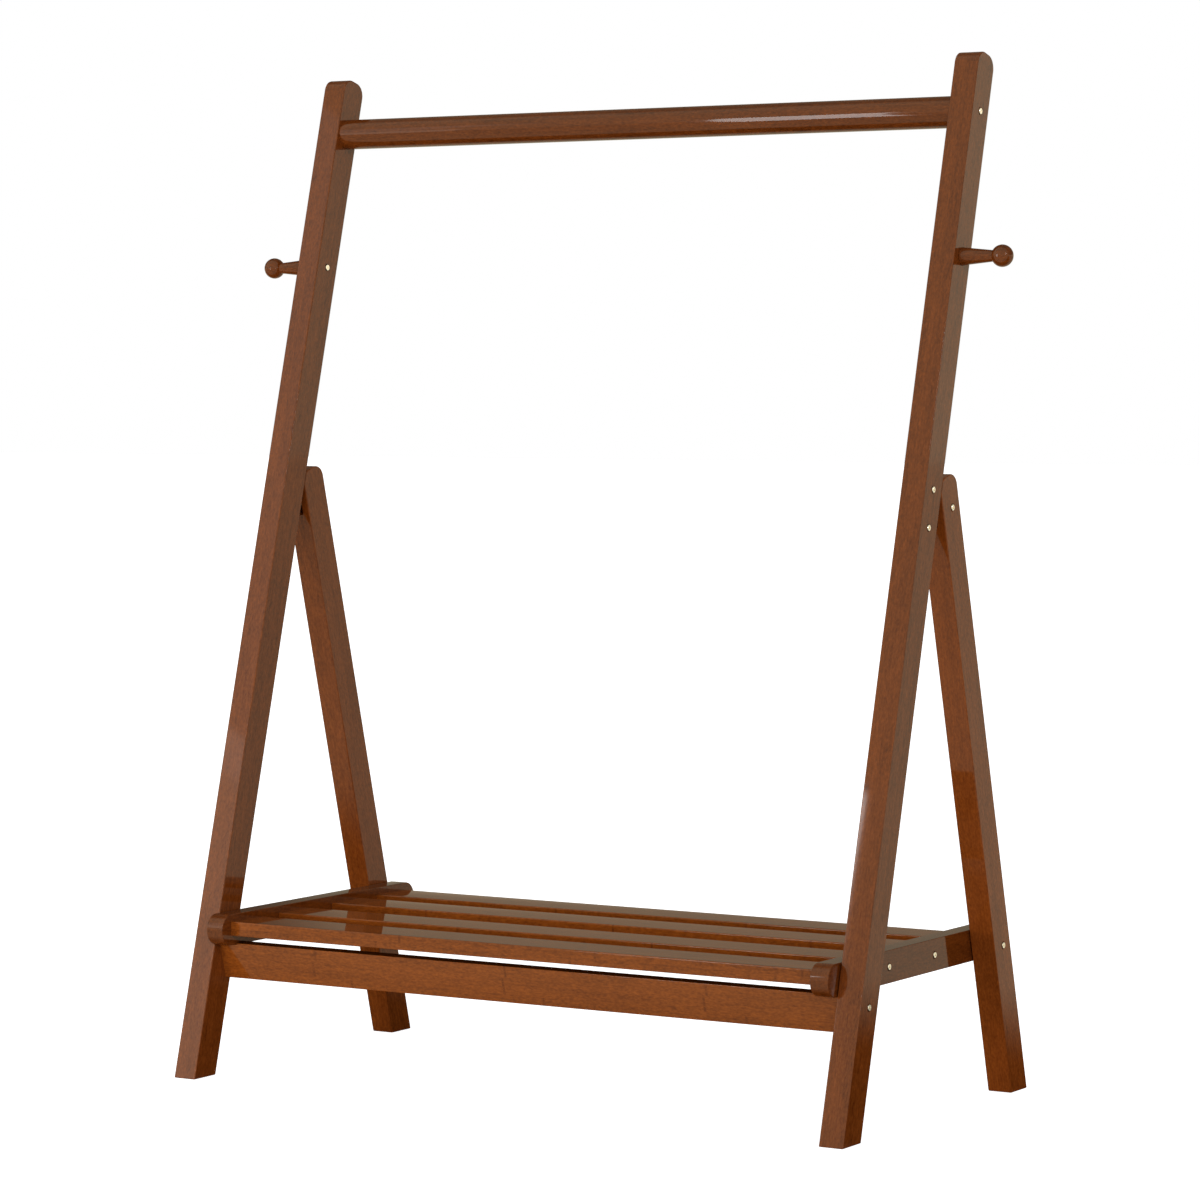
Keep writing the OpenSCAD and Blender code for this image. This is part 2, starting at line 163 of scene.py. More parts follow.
def laminated_bamboo():
    """Node group: glued strips that run along Z, with fine fibres, soft smudges and faint knuckles."""
    group = bpy.data.node_groups.new("laminated bamboo", "ShaderNodeTree")
    for label, kind in (("Place", "NodeSocketVector"), ("Dark", "NodeSocketColor"),
                        ("Light", "NodeSocketColor"), ("Knuckles", "NodeSocketFloat"),
                        ("Tone", "NodeSocketFloat")):
        group.interface.new_socket(label, in_out="INPUT", socket_type=kind)
    for label, kind in (("Color", "NodeSocketColor"), ("Relief", "NodeSocketFloat")):
        group.interface.new_socket(label, in_out="OUTPUT", socket_type=kind)
    given = group.nodes.new("NodeGroupInput")
    place = wired(group, "ShaderNodeSeparateXYZ", {0: given.outputs["Place"]}).outputs

    # Which strip: the whole-numbered cell across the grain, and a random shade for each cell
    cell = [reckoned(group, "FLOOR", reckoned(group, "DIVIDE", value, width))
            for value, width in ((place[0], strip_wide), (place[1], strip_thick))]
    cell_at = wired(group, "ShaderNodeCombineXYZ", {0: cell[0], 1: cell[1]}).outputs[0]
    chance = wired(group, "ShaderNodeTexWhiteNoise", {0: cell_at}, noise_dimensions="3D").outputs
    shade = chance["Value"]
    start = wired(group, "ShaderNodeSeparateColor", {0: chance["Color"]}).outputs[1]

    # Fibres: noise drawn out along the grain, from broad clouds to fine specks, anew in each strip
    along = reckoned(group, "MULTIPLY_ADD", start, strip_shift, place[2])
    shifted = wired(group, "ShaderNodeCombineXYZ", {0: place[0], 1: place[1], 2: along}).outputs[0]
    clouds = drawn_out(group, shifted, (34, 34, 7), 2.0)
    streaks = drawn_out(group, shifted, (150, 150, 5), 3.0)
    fibres = drawn_out(group, shifted, (330, 330, 55), 3.0)
    specks = drawn_out(group, shifted, (430, 430, 190), 2.0)

    # Marks: rare soft darker smudges, and one faint broken band at each joint of the culm
    smudge = ramp(group, drawn_out(group, shifted, (95, 95, 34), 3.0, roughness=0.6), 0.60, 0.78)
    turns = reckoned(group, "DIVIDE", along, knuckle_pitch)
    past_joint = reckoned(group, "SUBTRACT", reckoned(group, "FRACT", turns), 0.5)
    from_joint = reckoned(group, "ABSOLUTE", past_joint)
    band = ramp(group, from_joint, knuckle_half / knuckle_pitch, knuckle_core / knuckle_pitch)
    broken = reckoned(group, "MULTIPLY", band, ramp(group, specks, 0.42, 0.62, steps="LINEAR"))
    knuckle = reckoned(group, "MULTIPLY", broken, given.outputs["Knuckles"])

    # Tone: the strip's own shade, its fibres and its marks place it between the two stains
    tone = reckoned(group, "MULTIPLY_ADD", shade, strip_spread, strip_middle)
    for value, weight in ((clouds, 0.50), (streaks, 0.45), (fibres, 0.85), (specks, 1.30)):
        tone = reckoned(group, "MULTIPLY_ADD", reckoned(group, "SUBTRACT", value, 0.5), weight, tone)
    for mark, weight in ((smudge, -0.40), (knuckle, -0.75)):
        tone = reckoned(group, "MULTIPLY_ADD", mark, weight, tone)
    stain = between(group, tone, given.outputs["Dark"], given.outputs["Light"])
    stain = wired(group, "ShaderNodeVectorMath", {0: stain, "Scale": given.outputs["Tone"]},
                  operation="SCALE").outputs[0]

    relief = reckoned(group, "MULTIPLY_ADD", streaks, 0.5, reckoned(group, "MULTIPLY", fibres, 0.3))
    relief = reckoned(group, "MULTIPLY_ADD", knuckle, 0.5, relief)
    made = group.nodes.new("NodeGroupOutput")
    group.links.new(stain, made.inputs["Color"])
    group.links.new(relief, made.inputs["Relief"])
    return group


bamboo_group = laminated_bamboo()


def unfinished(name):
    """A new material. Returns it, its tree and its shader."""
    material = bpy.data.materials.new(name)
    material.use_nodes = True
    tree = material.node_tree
    return material, tree, tree.nodes["Principled BSDF"]


def bamboo_material(name, dark, light, knuckles):
    """A bamboo finish. Returns it, its tree, its shader, and the inputs of the wood in it."""
    material, tree, shader = unfinished(name)
    wood = wired(tree, "ShaderNodeGroup", {}, node_tree=bamboo_group)
    wood.inputs["Dark"].default_value = (*dark, 1)
    wood.inputs["Light"].default_value = (*light, 1)
    wood.inputs["Knuckles"].default_value = knuckles
    wood.inputs["Tone"].default_value = 1.0
    tree.links.new(wood.outputs["Color"], shader.inputs["Base Color"])
    bump = wired(tree, "ShaderNodeBump", {
        "Height": wood.outputs["Relief"], "Strength": 0.35, "Distance": 0.00012})
    tree.links.new(bump.outputs[0], shader.inputs["Normal"])
    return material, tree, shader, wood.inputs


def lacquered_bamboo(name, dark, light, knuckles):
    """Bamboo under clear gloss. Its pieces carry their points' places in their own axes, and a tone."""
    material, tree, shader, wood = bamboo_material(name, dark, light, knuckles)
    grain = wired(tree, "ShaderNodeAttribute", {}, attribute_name="grain")
    tree.links.new(grain.outputs["Vector"], wood["Place"])
    tone = wired(tree, "ShaderNodeAttribute", {}, attribute_name="tone")
    tree.links.new(tone.outputs["Fac"], wood["Tone"])
    shader.inputs["Roughness"].default_value = 0.5
    shader.inputs["Specular IOR Level"].default_value = 0.0
    shader.inputs["Coat Weight"].default_value = 0.75
    shader.inputs["Coat Roughness"].default_value = 0.04
    shader.inputs["Coat IOR"].default_value = 1.45
    return material


lacquered = lacquered_bamboo("lacquered bamboo", dark=(0.086, 0.0180, 0.0025),
                             light=(0.236, 0.0560, 0.0085), knuckles=0.35)


def added(name, shape):
    """Turns a bmesh into an object of the scene."""
    mesh = bpy.data.meshes.new(name)
    shape.to_mesh(mesh)
    shape.free()
    piece = bpy.data.objects.new(name, mesh)
    bpy.context.scene.collection.objects.link(piece)
    return piece


def milled(name, outline, low, high, softened=0.0, ends_softened=True):
    """A bar with its grain along Z: a (y, z) outline thickened from low to high along X."""
    shape = bmesh.new()
    sides = [[shape.verts.new((x, y, z)) for y, z in outline] for x in (low, high)]
    shape.faces.new(sides[0])
    shape.faces.new(sides[1])
    for here in range(len(outline)):
        after = (here + 1) % len(outline)
        shape.faces.new((sides[0][here], sides[0][after], sides[1][after], sides[1][here]))
    bmesh.ops.recalc_face_normals(shape, faces=shape.faces)
    arrises = []
    for edge in shape.edges:
        run = edge.verts[1].co - edge.verts[0].co
        lengthwise = abs(run.z) > 0.9 * run.length
        if edge.calc_face_angle() > least_arris_angle and (ends_softened or lengthwise):
            arrises.append(edge)
    if softened:
        bmesh.ops.bevel(shape, geom=arrises, offset=softened, segments=3, profile=0.5, affect="EDGES")
    return added(name, shape)


def turned(name, profile, facets=64):
    """A lathe shape about Z through (z, radius) points, closed where the radius is 0."""
    shape = bmesh.new()
    rings = []
    for z, radius in profile:
        turns = [2 * math.pi * step / facets for step in range(facets if radius else 1)]
        rings.append([shape.verts.new((radius * math.cos(a), radius * math.sin(a), z)) for a in turns])
    for low, high in zip(rings, rings[1:]):
        for step in range(facets):
            after = (step + 1) % facets
            corners = [low[step % len(low)], low[after % len(low)],
                       high[after % len(high)], high[step % len(high)]]
            corners = list(dict.fromkeys(corners))
            if len(corners) > 2:
                shape.faces.new(corners)
    bmesh.ops.recalc_face_normals(shape, faces=shape.faces)
    return added(name, shape)


def set_in(piece, origin, along, across):
    """Moves a piece so that its Z runs along, its Y across, and its own origin is at origin."""
    along, across = Vector(along).normalized(), Vector(across).normalized()
    turn = Matrix((across.cross(along), across, along)).transposed()
    piece.matrix_world = Matrix.Translation(origin) @ turn.to_4x4()
    bpy.context.view_layer.update()
    return piece


def leaning_back(piece):
    """Sets a piece in place in the axes of the long legs."""
    return set_in(piece, (0, leg_front_y, 0), (0, math.sin(lean), math.cos(lean)),
                  (0, math.cos(lean), -math.sin(lean)))


def cut_out(piece, cutters):
    """Takes each cutter's solid out of the piece, then shades flats flat and rounds round."""
    for cutter in cutters:
        cutter.hide_render = True
        step = piece.modifiers.new("cut", "BOOLEAN")
        step.object = cutter
        step.operation = "DIFFERENCE"
        step.solver = "EXACT"
    bpy.context.view_layer.update()
    cut = bpy.data.meshes.new_from_object(piece.evaluated_get(bpy.context.evaluated_depsgraph_get()))
    piece.modifiers.clear()
    piece.data = cut
    cut.name = piece.name
    for cutter in cutters:
        bpy.data.objects.remove(cutter)
    piece.data.shade_smooth()
    piece.data.set_sharp_from_angle(angle=least_crease_angle)
    shading = piece.modifiers.new("flats stay flat", "WEIGHTED_NORMAL")
    shading.keep_sharp = True
    return piece


def middle(node):
    """The middle of a CAD node."""
    low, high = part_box(node)
    return (low + high) / 2


def bore(face_x, inward, centre, steps, recess=recess_depth):
    """Cutter for a bolt: a counterbore with a softened rim, then (depth, radius) steps."""
    profile = [(-overcut, 0), (-overcut, recess_radius + recess_rim + overcut), (recess_rim, recess_radius)]
    reached, radius = recess, recess_radius
    for depth, next_radius in steps:
        profile += [(reached, radius), (reached, next_radius)]
        reached, radius = depth, next_radius
    profile += [(reached, radius), (reached, 0)]
    cutter = turned("bore", profile, facets=48)
    return set_in(cutter, (face_x, centre.y, centre.z), (inward, 0, 0), (0, 1, 0))


def pocket(face_x, inward, centre, depth, radius):
    """Cutter for a plain round hole of that depth."""
    cutter = turned("pocket", [(-overcut, 0), (-overcut, radius), (depth, radius), (depth, 0)])
    return set_in(cutter, (face_x, centre.y, centre.z), (inward, 0, 0), (0, 1, 0))


def arc(start, sweep, steps):
    """Angles from start, through a sweep in degrees, in that many equal steps."""
    return [math.radians(start + sweep * step / steps) for step in range(steps + 1)]


def leg_outline(length, foot_slope):
    """Side view of a leg: a foot cut level with the floor, and a top with two rounded corners."""
    points = [(0, 0), (leg_depth, leg_depth * foot_slope)]
    for centre, start in ((leg_depth - top_radius, 0), (top_radius, 90)):
        for angle in arc(start, 90, 12):
            points.append((centre + top_radius * math.cos(angle),
                           length - top_radius + top_radius * math.sin(angle)))
    return points


def finished(piece, body, material, slot, *nodes, tone=1.0):
    """Notes the piece's own axes and tone, gives it its finish and body, and hides the CAD nodes that it
    stands for.

    Each piece is cut from another part of the wood, by whole strips, so that no two look alike."""
    cut_from = next_cut * len(bpy.data.objects)
    places = [number for point in piece.data.vertices for number in point.co + cut_from]
    grain = piece.data.attributes.new("grain", "FLOAT_VECTOR", "POINT")
    grain.data.foreach_set("vector", places)
    toned = piece.data.attributes.new("tone", "FLOAT", "POINT")
    toned.data.foreach_set("value", [tone] * len(piece.data.vertices))
    piece.data.transform(piece.matrix_world)
    piece.matrix_world = Matrix.Identity(4)
    piece.data.materials.clear()
    piece.data.materials.append(material)
    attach(piece, body)
    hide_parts(*nodes)


for side, sign in (("left", -1), ("right", 1)):
    low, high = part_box(f"long_leg_{side}")
    outer, inner = (high.x, low.x) if sign > 0 else (low.x, high.x)
    width = high.x - low.x
    mid_x = (low.x + high.x) / 2
    leg = milled(f"leg_long_{side}", leg_outline(long_leg_length, math.tan(lean)), low.x, high.x, arris)
    leaning_back(leg)
    low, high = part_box(f"tongue_bolts_{side}")
    hinge = [Vector((0, low.y + head_radius, low.z + head_radius)),
             Vector((0, high.y - head_radius, high.z - head_radius))]
    mortise_at = (leg.matrix_world.inverted() @ ((hinge[0] + hinge[1]) / 2)).z
    mortise_low = mortise_at - mortise_half_length
    mortise_high = mortise_at + mortise_half_length
    mortise_outline = [(mortise_front, mortise_low), (mortise_back, mortise_low),
                       (mortise_back, mortise_high), (mortise_front, mortise_high)]
    mortise = milled("mortise", mortise_outline, mid_x - mortise_half_width, mid_x + mortise_half_width)
    mortise.matrix_world = leg.matrix_world
    cutters = [mortise]
    for centre in hinge:
        steps = [(width - tongue_wall, bolt_hole), (width - blind_wall, insert_hole)]
        cutters.append(bore(outer, -sign, centre, steps))
    cutters.append(pocket(inner, sign, middle("hanging_rod"), rod_seat_deep, rod_seat_radius))
    for stem, face, inward, depth in (("rod_bolt", outer, -sign, width - rod_seat_deep + overcut),
                                      ("stretcher_bolt", outer, -sign, width + overcut),
                                      ("peg_bolt", inner, sign, width + overcut)):
        cutters.append(bore(face, inward, middle(f"{stem}_{side}"), [(depth, bolt_hole)]))
    cutters.append(pocket(inner, sign, middle(f"stretcher_dowel_{side}"), dowel_hole_deep, dowel_hole))
    cut_out(leg, cutters)
    finished(leg, "front_frame", lacquered, "bamboo_lacquered", f"long_leg_{side}")


# Rear legs: shorter bars of the same stock that lean forward from the rear feet. Their rounded
# tops are planed flat where they bear on the long legs, and a slot in each lets the hinge
# tongue in as the rack folds.
rear_leg_y = 0.219807
rear_leg_length = 0.866445
stop_gap = 0.0003
stop_low = 0.84
stop_high = 0.94
stop_ahead = 0.01
slot_half_width = 0.0065
slot_radius = 0.0125
slot_swing = 75
slot_wall = 0.011
pivot_hole = 0.00255
running_hole = 0.00256
shelf_recess = 0.0043
rear_tones = {"left": 1.05, "right": 1.2}

for side, sign in (("left", -1), ("right", 1)):
    low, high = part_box(f"rear_leg_{side}")
    outer = high.x if sign > 0 else low.x
    width = high.x - low.x
    mid_x = (low.x + high.x) / 2
    leg = milled(f"leg_rear_{side}", leg_outline(rear_leg_length, -math.tan(lean)), low.x, high.x, arris)
    set_in(leg, (0, rear_leg_y, 0), (0, -math.sin(lean), math.cos(lean)),
           (0, math.cos(lean), math.sin(lean)))
    pivot = middle(f"pivot_bolt_{side}")
    pivot_at = leg.matrix_world.inverted() @ Vector((0, pivot.y, pivot.z))
    slot_outline = [(pivot_at.y + slot_radius * math.cos(a), pivot_at.z + slot_radius * math.sin(a))
                    for a in arc(slot_swing, -2 * slot_swing, 24)]
    for end, rise in ((-1, -1), (0, 1)):
        y, z = slot_outline[end]
        slot_outline.append((y - leg_depth * math.cos(lean), z + rise * leg_depth * math.sin(lean)))
    opening = milled("slot", slot_outline, mid_x - slot_half_width, mid_x + slot_half_width)
    opening.matrix_world = leg.matrix_world
    stop_back = leg_depth + stop_gap
    stop_outline = [(-stop_ahead, stop_low), (stop_back, stop_low),
                    (stop_back, stop_high), (-stop_ahead, stop_high)]
    flat = leaning_back(milled("stop flat", stop_outline, low.x - overcut, high.x + overcut))
    pivot_steps = [(width - slot_wall, pivot_hole), (width - blind_wall, insert_hole)]
    shelf_steps = [(width + overcut, running_hole)]
    cut_out(leg, [opening, flat, bore(outer, -sign, pivot, pivot_steps),
                  bore(outer, -sign, middle(f"shelf_bolt_{side}"), shelf_steps, shelf_recess)])
    finished(leg, "rear_legs", lacquered, "bamboo_lacquered", f"rear_leg_{side}", tone=rear_tones[side])


# Hanging rod: a round bar turned from a laminated blank and lacquered like the legs. It is
# housed in both long legs and drawn tight by a bolt into an insert at each end.
rod_radius = 0.02125
rod_edge = 0.001
rod_insert_deep = 0.015

low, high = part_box("hanging_rod")
rod_half = high.x
profile = [(-rod_half + rod_insert_deep, 0), (-rod_half + rod_insert_deep, insert_hole),
           (-rod_half, insert_hole), (-rod_half, rod_radius - rod_edge),
           (-rod_half + rod_edge, rod_radius)]
profile += [(-z, radius) for z, radius in reversed(profile)]
rod = turned("rod_hanging", profile, facets=96)
set_in(rod, middle("hanging_rod"), (1, 0, 0), (0, 0, 1))
cut_out(rod, [])
finished(rod, "front_frame", lacquered, "bamboo_lacquered", "hanging_rod", tone=0.84)


# Side pegs: each is turned in one piece, a shaft that tapers to its neck and swells into a
# ball, lacquered like the legs and drawn against the leg by a bolt from the inner face.
peg_base_radius = 0.012
peg_neck_radius = 0.0075
peg_edge = 0.0006
peg_insert_deep = 0.015
peg_reach = 0.058
ball_radius = 0.01475
flare_long = 0.0012
flare_angle = math.radians(9)
neck_angle = math.asin(peg_neck_radius / ball_radius) + flare_angle
neck_at = peg_reach - ball_radius * math.cos(neck_angle) - flare_long
shaft_steps = 8
ball_steps = 28

for side, sign in (("left", -1), ("right", 1)):
    low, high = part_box(f"long_leg_{side}")
    outer = high.x if sign > 0 else low.x
    profile = [(peg_insert_deep, 0), (peg_insert_deep, insert_hole), (0, insert_hole),
               (0, peg_base_radius - peg_edge), (peg_edge, peg_base_radius)]
    for step in range(1, shaft_steps + 1):
        share = step / shaft_steps
        profile.append((neck_at * share, peg_base_radius + (peg_neck_radius - peg_base_radius) * share))
    for step in range(ball_steps + 1):
        angle = neck_angle + (math.pi - neck_angle) * step / ball_steps
        profile.append((peg_reach - ball_radius * math.cos(angle), ball_radius * abs(math.sin(angle))))
    profile[-1] = (peg_reach + ball_radius, 0)
    peg = turned(f"peg_turned_{side}", profile)
    centre = middle(f"peg_{side}")
    set_in(peg, (outer, centre.y, centre.z), (sign, 0, 0), (0, 0, 1))
    cut_out(peg, [])
    finished(peg, "front_frame", lacquered, "bamboo_lacquered", f"peg_{side}", tone=0.88)


# Front stretcher: a flat board of paler bamboo, which leans as the rear legs do. Its top edge is
# made nearly black by painted shade. A bolt and a dowel at each end hold it between the long legs,
# and the shelf's rails rest in a level rabbet at each end.
board_high = 0.0525
board_thick = 0.012
board_bolt_drop = 0.0165
board_arris = 0.0008
board_insert_deep = 0.015
board_tone = 1.03
painted_shade_tone = 0.2
painted_shade_deep = 0.0001
rabbet_high = 0.02
rabbet_reach = 0.03
rabbet_past_end = 0.01
rabbet_past_rail = 0.0005
lacquered_pale = lacquered_bamboo("paler lacquered bamboo", dark=(0.120, 0.0265, 0.0032),
                                  light=(0.300, 0.0740, 0.0090), knuckles=1.0)

bolt = middle("stretcher_bolt_left")
dowel = middle("stretcher_dowel_left")
low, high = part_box("front_stretcher")
half_long = high.x
board_low = -board_high + board_bolt_drop
outline = [(board_low, -half_long), (board_bolt_drop, -half_long),
           (board_bolt_drop, half_long), (board_low, half_long)]
board = milled("stretcher_front", outline, -board_thick / 2, board_thick / 2, board_arris,
               ends_softened=False)
set_in(board, (0, bolt.y, bolt.z), (1, 0, 0), (0, -math.sin(lean), math.cos(lean)))
cutters = []
for side, sign in (("left", -1), ("right", 1)):
    cutters.append(pocket(sign * half_long, -sign, bolt, board_insert_deep, insert_hole))
    cutters.append(pocket(sign * half_long, -sign, dowel, dowel_hole_deep, dowel_hole))
    low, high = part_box(f"shelf_rail_{side}")
    rest_z = low.z - stop_gap
    rabbet = [(bolt.y - rabbet_reach, rest_z), (bolt.y + rabbet_reach, rest_z),
              (bolt.y + rabbet_reach, rest_z + rabbet_high), (bolt.y - rabbet_reach, rest_z + rabbet_high)]
    cutters.append(milled("rabbet", rabbet, low.x - (rabbet_past_end if sign < 0 else rabbet_past_rail),
                          high.x + (rabbet_past_end if sign > 0 else rabbet_past_rail)))
cut_out(board, cutters)
# Painted shade: the points along the board's top edge get a low tone, so that edge renders nearly black.
painted_shade_points = [point.index for point in board.data.vertices if point.co.y > board_bolt_drop - painted_shade_deep]
finished(board, "front_frame", lacquered_pale, "bamboo_lacquered", "front_stretcher", "stretcher_strip",
         tone=board_tone)
for index in painted_shade_points:
    board.data.attributes["tone"].data[index].value = painted_shade_tone


# Shelf slats: four flat boards of the paler bamboo with softened long arrises and a stub tenon
# at each end, set into the side rails with gaps between them.
slat_shoulder = 0.002
tenon_long = 0.00495
slat_tones = {1: 1.0, 2: 1.08, 3: 1.08, 4: 1.0}

for number, tone in slat_tones.items():
    low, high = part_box(f"shelf_slat_{number}")
    shoulder_x = high.x - tenon_long
    half_wide = (high.y - low.y) / 2
    half_thick = (high.z - low.z) / 2
    outline = [(-half_wide, -shoulder_x), (half_wide, -shoulder_x),
               (half_wide, shoulder_x), (-half_wide, shoulder_x)]
    slat = milled(f"slat_{number}", outline, -half_thick, half_thick, arris, ends_softened=False)
    shape = bmesh.new()
    shape.from_mesh(slat.data)
    ends = [face for face in shape.faces if abs(face.normal.z) > 0.99]
    for end in ends:
        bmesh.ops.inset_region(shape, faces=[end], thickness=slat_shoulder)
        outward = end.normal.copy()
        grown = bmesh.ops.extrude_discrete_faces(shape, faces=[end])["faces"]
        bmesh.ops.translate(shape, vec=outward * tenon_long, verts=grown[0].verts)
    shape.to_mesh(slat.data)
    shape.free()
    set_in(slat, middle(f"shelf_slat_{number}"), (1, 0, 0), (0, 1, 0))
    cut_out(slat, [])
    finished(slat, "shelf", lacquered_pale, "bamboo_lacquered", f"shelf_slat_{number}", tone=tone)


# Side rails: upright boards with half-round ends that carry the slats in shallow housings.
# Screws in counterbores hold the slats, and a bolt through each rear leg is the shelf's pivot.
slat_play = 0.00005
rail_arris = 0.0008
housing_deep = 0.006
screw_hole = 0.0025
screw_wall = 0.0045
rail_insert_deep = 0.0135

for side, sign in (("left", -1), ("right", 1)):
    low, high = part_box(f"shelf_rail_{side}")
    outer = high.x if sign > 0 else low.x
    centre = (low + high) / 2
    end_radius = (high.z - low.z) / 2
    straight = (high.y - low.y) / 2 - end_radius
    outline = []
    for end in (1, -1):
        for angle in arc(0, 180, 24):
            outline.append((end * end_radius * math.cos(angle),
                            end * (straight + end_radius * math.sin(angle))))
    rail = milled(f"rail_{side}", outline, low.x, high.x, rail_arris)
    set_in(rail, (0, centre.y, centre.z), (0, 1, 0), (0, 0, -1))
    screw_steps = [(high.x - low.x - screw_wall, screw_hole)]
    cutters = []
    for number in slat_tones:
        slat_low, slat_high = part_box(f"shelf_slat_{number}")
        slat_y = (slat_low.y + slat_high.y) / 2
        slat_z = (slat_low.z + slat_high.z) / 2
        half_wide = (slat_high.y - slat_low.y) / 2 - slat_shoulder + slat_play
        half_thick = (slat_high.z - slat_low.z) / 2 - slat_shoulder + slat_play
        outline = [(-half_wide, -housing_deep), (half_wide, -housing_deep), (half_wide, 0), (-half_wide, 0)]
        housing = milled("housing", outline, -half_thick, half_thick)
        cutters.append(set_in(housing, (sign * slat_high.x, slat_y, slat_z), (sign, 0, 0), (0, 1, 0)))
        cutters.append(bore(outer, -sign, Vector((0, slat_y, centre.z)), screw_steps))
    cutters.append(pocket(outer, -sign, middle(f"shelf_washer_{side}"), rail_insert_deep, insert_hole))
    cut_out(rail, cutters)
    finished(rail, "shelf", lacquered, "bamboo_lacquered", f"shelf_rail_{side}", tone=0.76)


# Bolts and screws: cap heads with hexagon sockets, plated in pale brass, which stand a
# millimetre proud of their counterbores. They stay as the CAD model has them.
def place_on_piece(tree):
    """The place on the piece, in the rack's own axes."""
    return tree.nodes.new("ShaderNodeTexCoord").outputs["Object"]


def refinish(material, *stems):
    """Gives the left and right CAD nodes of each name that material."""
    for stem in stems:
        for side in ("left", "right"):
            node = frame["nodes"][f"{stem}_{side}"]
            node.data.materials.clear()
            node.data.materials.append(material)


brass, tree, shader = unfinished("pale brass plating")
place = place_on_piece(tree)
pores = noise_at(tree, place, 900.0, 3.0)
cloud = noise_at(tree, place, 160.0, 2.0)
plating = between(tree, cloud, (0.97, 0.89, 0.79, 1), (1.0, 0.95, 0.90, 1))
dulled = ramp(tree, pores, 0.0, 1.0, 0.06, 0.20, steps="LINEAR")
rough = wired(tree, "ShaderNodeBump", {"Height": pores, "Strength": 0.2, "Distance": 0.00005})
tree.links.new(plating, shader.inputs["Base Color"])
tree.links.new(dulled, shader.inputs["Roughness"])
tree.links.new(rough.outputs[0], shader.inputs["Normal"])
shader.inputs["Metallic"].default_value = 1.0
refinish(brass, "tongue_bolts", "rod_bolt", "peg_bolt", "stretcher_bolt", "pivot_bolt", "shelf_bolt",
         "slat_screws")


# Threaded inserts: zinc-plated steel sleeves, driven into the wood so that the bolts can be
# undone. Little of them shows.
zinc, tree, shader = unfinished("zinc plating")
bloom = noise_at(tree, place_on_piece(tree), 300.0, 3.0)
plating = between(tree, bloom, (0.50, 0.52, 0.55, 1), (0.70, 0.71, 0.73, 1))
dulled = ramp(tree, bloom, 0.0, 1.0, 0.3, 0.5, steps="LINEAR")
tree.links.new(plating, shader.inputs["Base Color"])
tree.links.new(dulled, shader.inputs["Roughness"])
shader.inputs["Metallic"].default_value = 1.0
refinish(zinc, "tongue_inserts", "rod_insert", "peg_insert", "stretcher_insert", "pivot_insert",
         "shelf_insert")


# Washers: dark fibre discs that keep the rails off the rear legs as the shelf turns. The shelf
# bolts run through them.
fibre, tree, shader = unfinished("dark fibre")
haze = noise_at(tree, place_on_piece(tree), 220.0, 2.0)
mottled = between(tree, haze, (0.016, 0.008, 0.005, 1), (0.032, 0.017, 0.010, 1))
tree.links.new(mottled, shader.inputs["Base Color"])
shader.inputs["Roughness"].default_value = 0.6
refinish(fibre, "shelf_washer")


# Hinge tongues and dowels: unlacquered bamboo, cut from thinner stock. The tongues are glued
# and bolted into the long legs' mortises, and the dowels are pressed in dry.
sealed, tree, shader, wood = bamboo_material("sealed bamboo", dark=(0.14, 0.050, 0.016),
                                             light=(0.30, 0.135, 0.050), knuckles=0.3)
grain_along_y = wired(tree, "ShaderNodeMapping", {
    "Vector": place_on_piece(tree), "Rotation": (math.radians(90), 0, 0)})
tree.links.new(grain_along_y.outputs[0], wood["Place"])
shader.inputs["Roughness"].default_value = 0.55
shader.inputs["Specular IOR Level"].default_value = 0.25
refinish(sealed, "hinge_tongue", "stretcher_dowel")


# Studio floor: wide white paper that melts into the white surround. In the lacquer it is pale
# in front of the rack, has a painted shade under it, and is pale again some way behind it.
white = (1, 1, 1, 1)
black = (0, 0, 0, 1)
warm_white = (1.0, 0.94, 0.68, 1)
paper_gray = (0.8, 0.8, 0.8, 1)
paper_in_view = 0.92
paper_in_gloss = 0.80
pale_before = -0.45
painted_shade_from = -0.20
painted_shade_to = 0.41
pale_beyond = 1.2

floor_mesh = bmesh.new()
bmesh.ops.create_grid(floor_mesh, x_segments=1, y_segments=1, size=40)
floor = added("floor", floor_mesh)
paper, tree, shader = unfinished("white paper floor")
seen = tree.nodes.new("ShaderNodeLightPath").outputs
position = tree.nodes.new("ShaderNodeNewGeometry").outputs["Position"]
back = wired(tree, "ShaderNodeSeparateXYZ", {0: position}).outputs[1]
# Painted shade: in the lacquer the paper's glow fades out under the rack and its base colour is black, so
# it mirrors dark there.
in_gloss = reckoned(tree, "ADD", ramp(tree, back, pale_before, painted_shade_from, paper_in_gloss, 0.0),
                    ramp(tree, back, painted_shade_to, pale_beyond, 0.0, paper_in_gloss))
in_view = reckoned(tree, "MAXIMUM", seen["Is Camera Ray"], seen["Is Transmission Ray"])
glow = reckoned(tree, "ADD", reckoned(tree, "MULTIPLY", in_view, paper_in_view),
                reckoned(tree, "MULTIPLY", seen["Is Glossy Ray"], in_gloss))
tree.links.new(glow, shader.inputs["Emission Strength"])
tree.links.new(between(tree, seen["Is Glossy Ray"], white, warm_white), shader.inputs["Emission Color"])
tree.links.new(between(tree, seen["Is Glossy Ray"], paper_gray, black), shader.inputs["Base Color"])
shader.inputs["Roughness"].default_value = 0.9
shader.inputs["Specular IOR Level"].default_value = 0.0
floor.data.materials.append(paper)


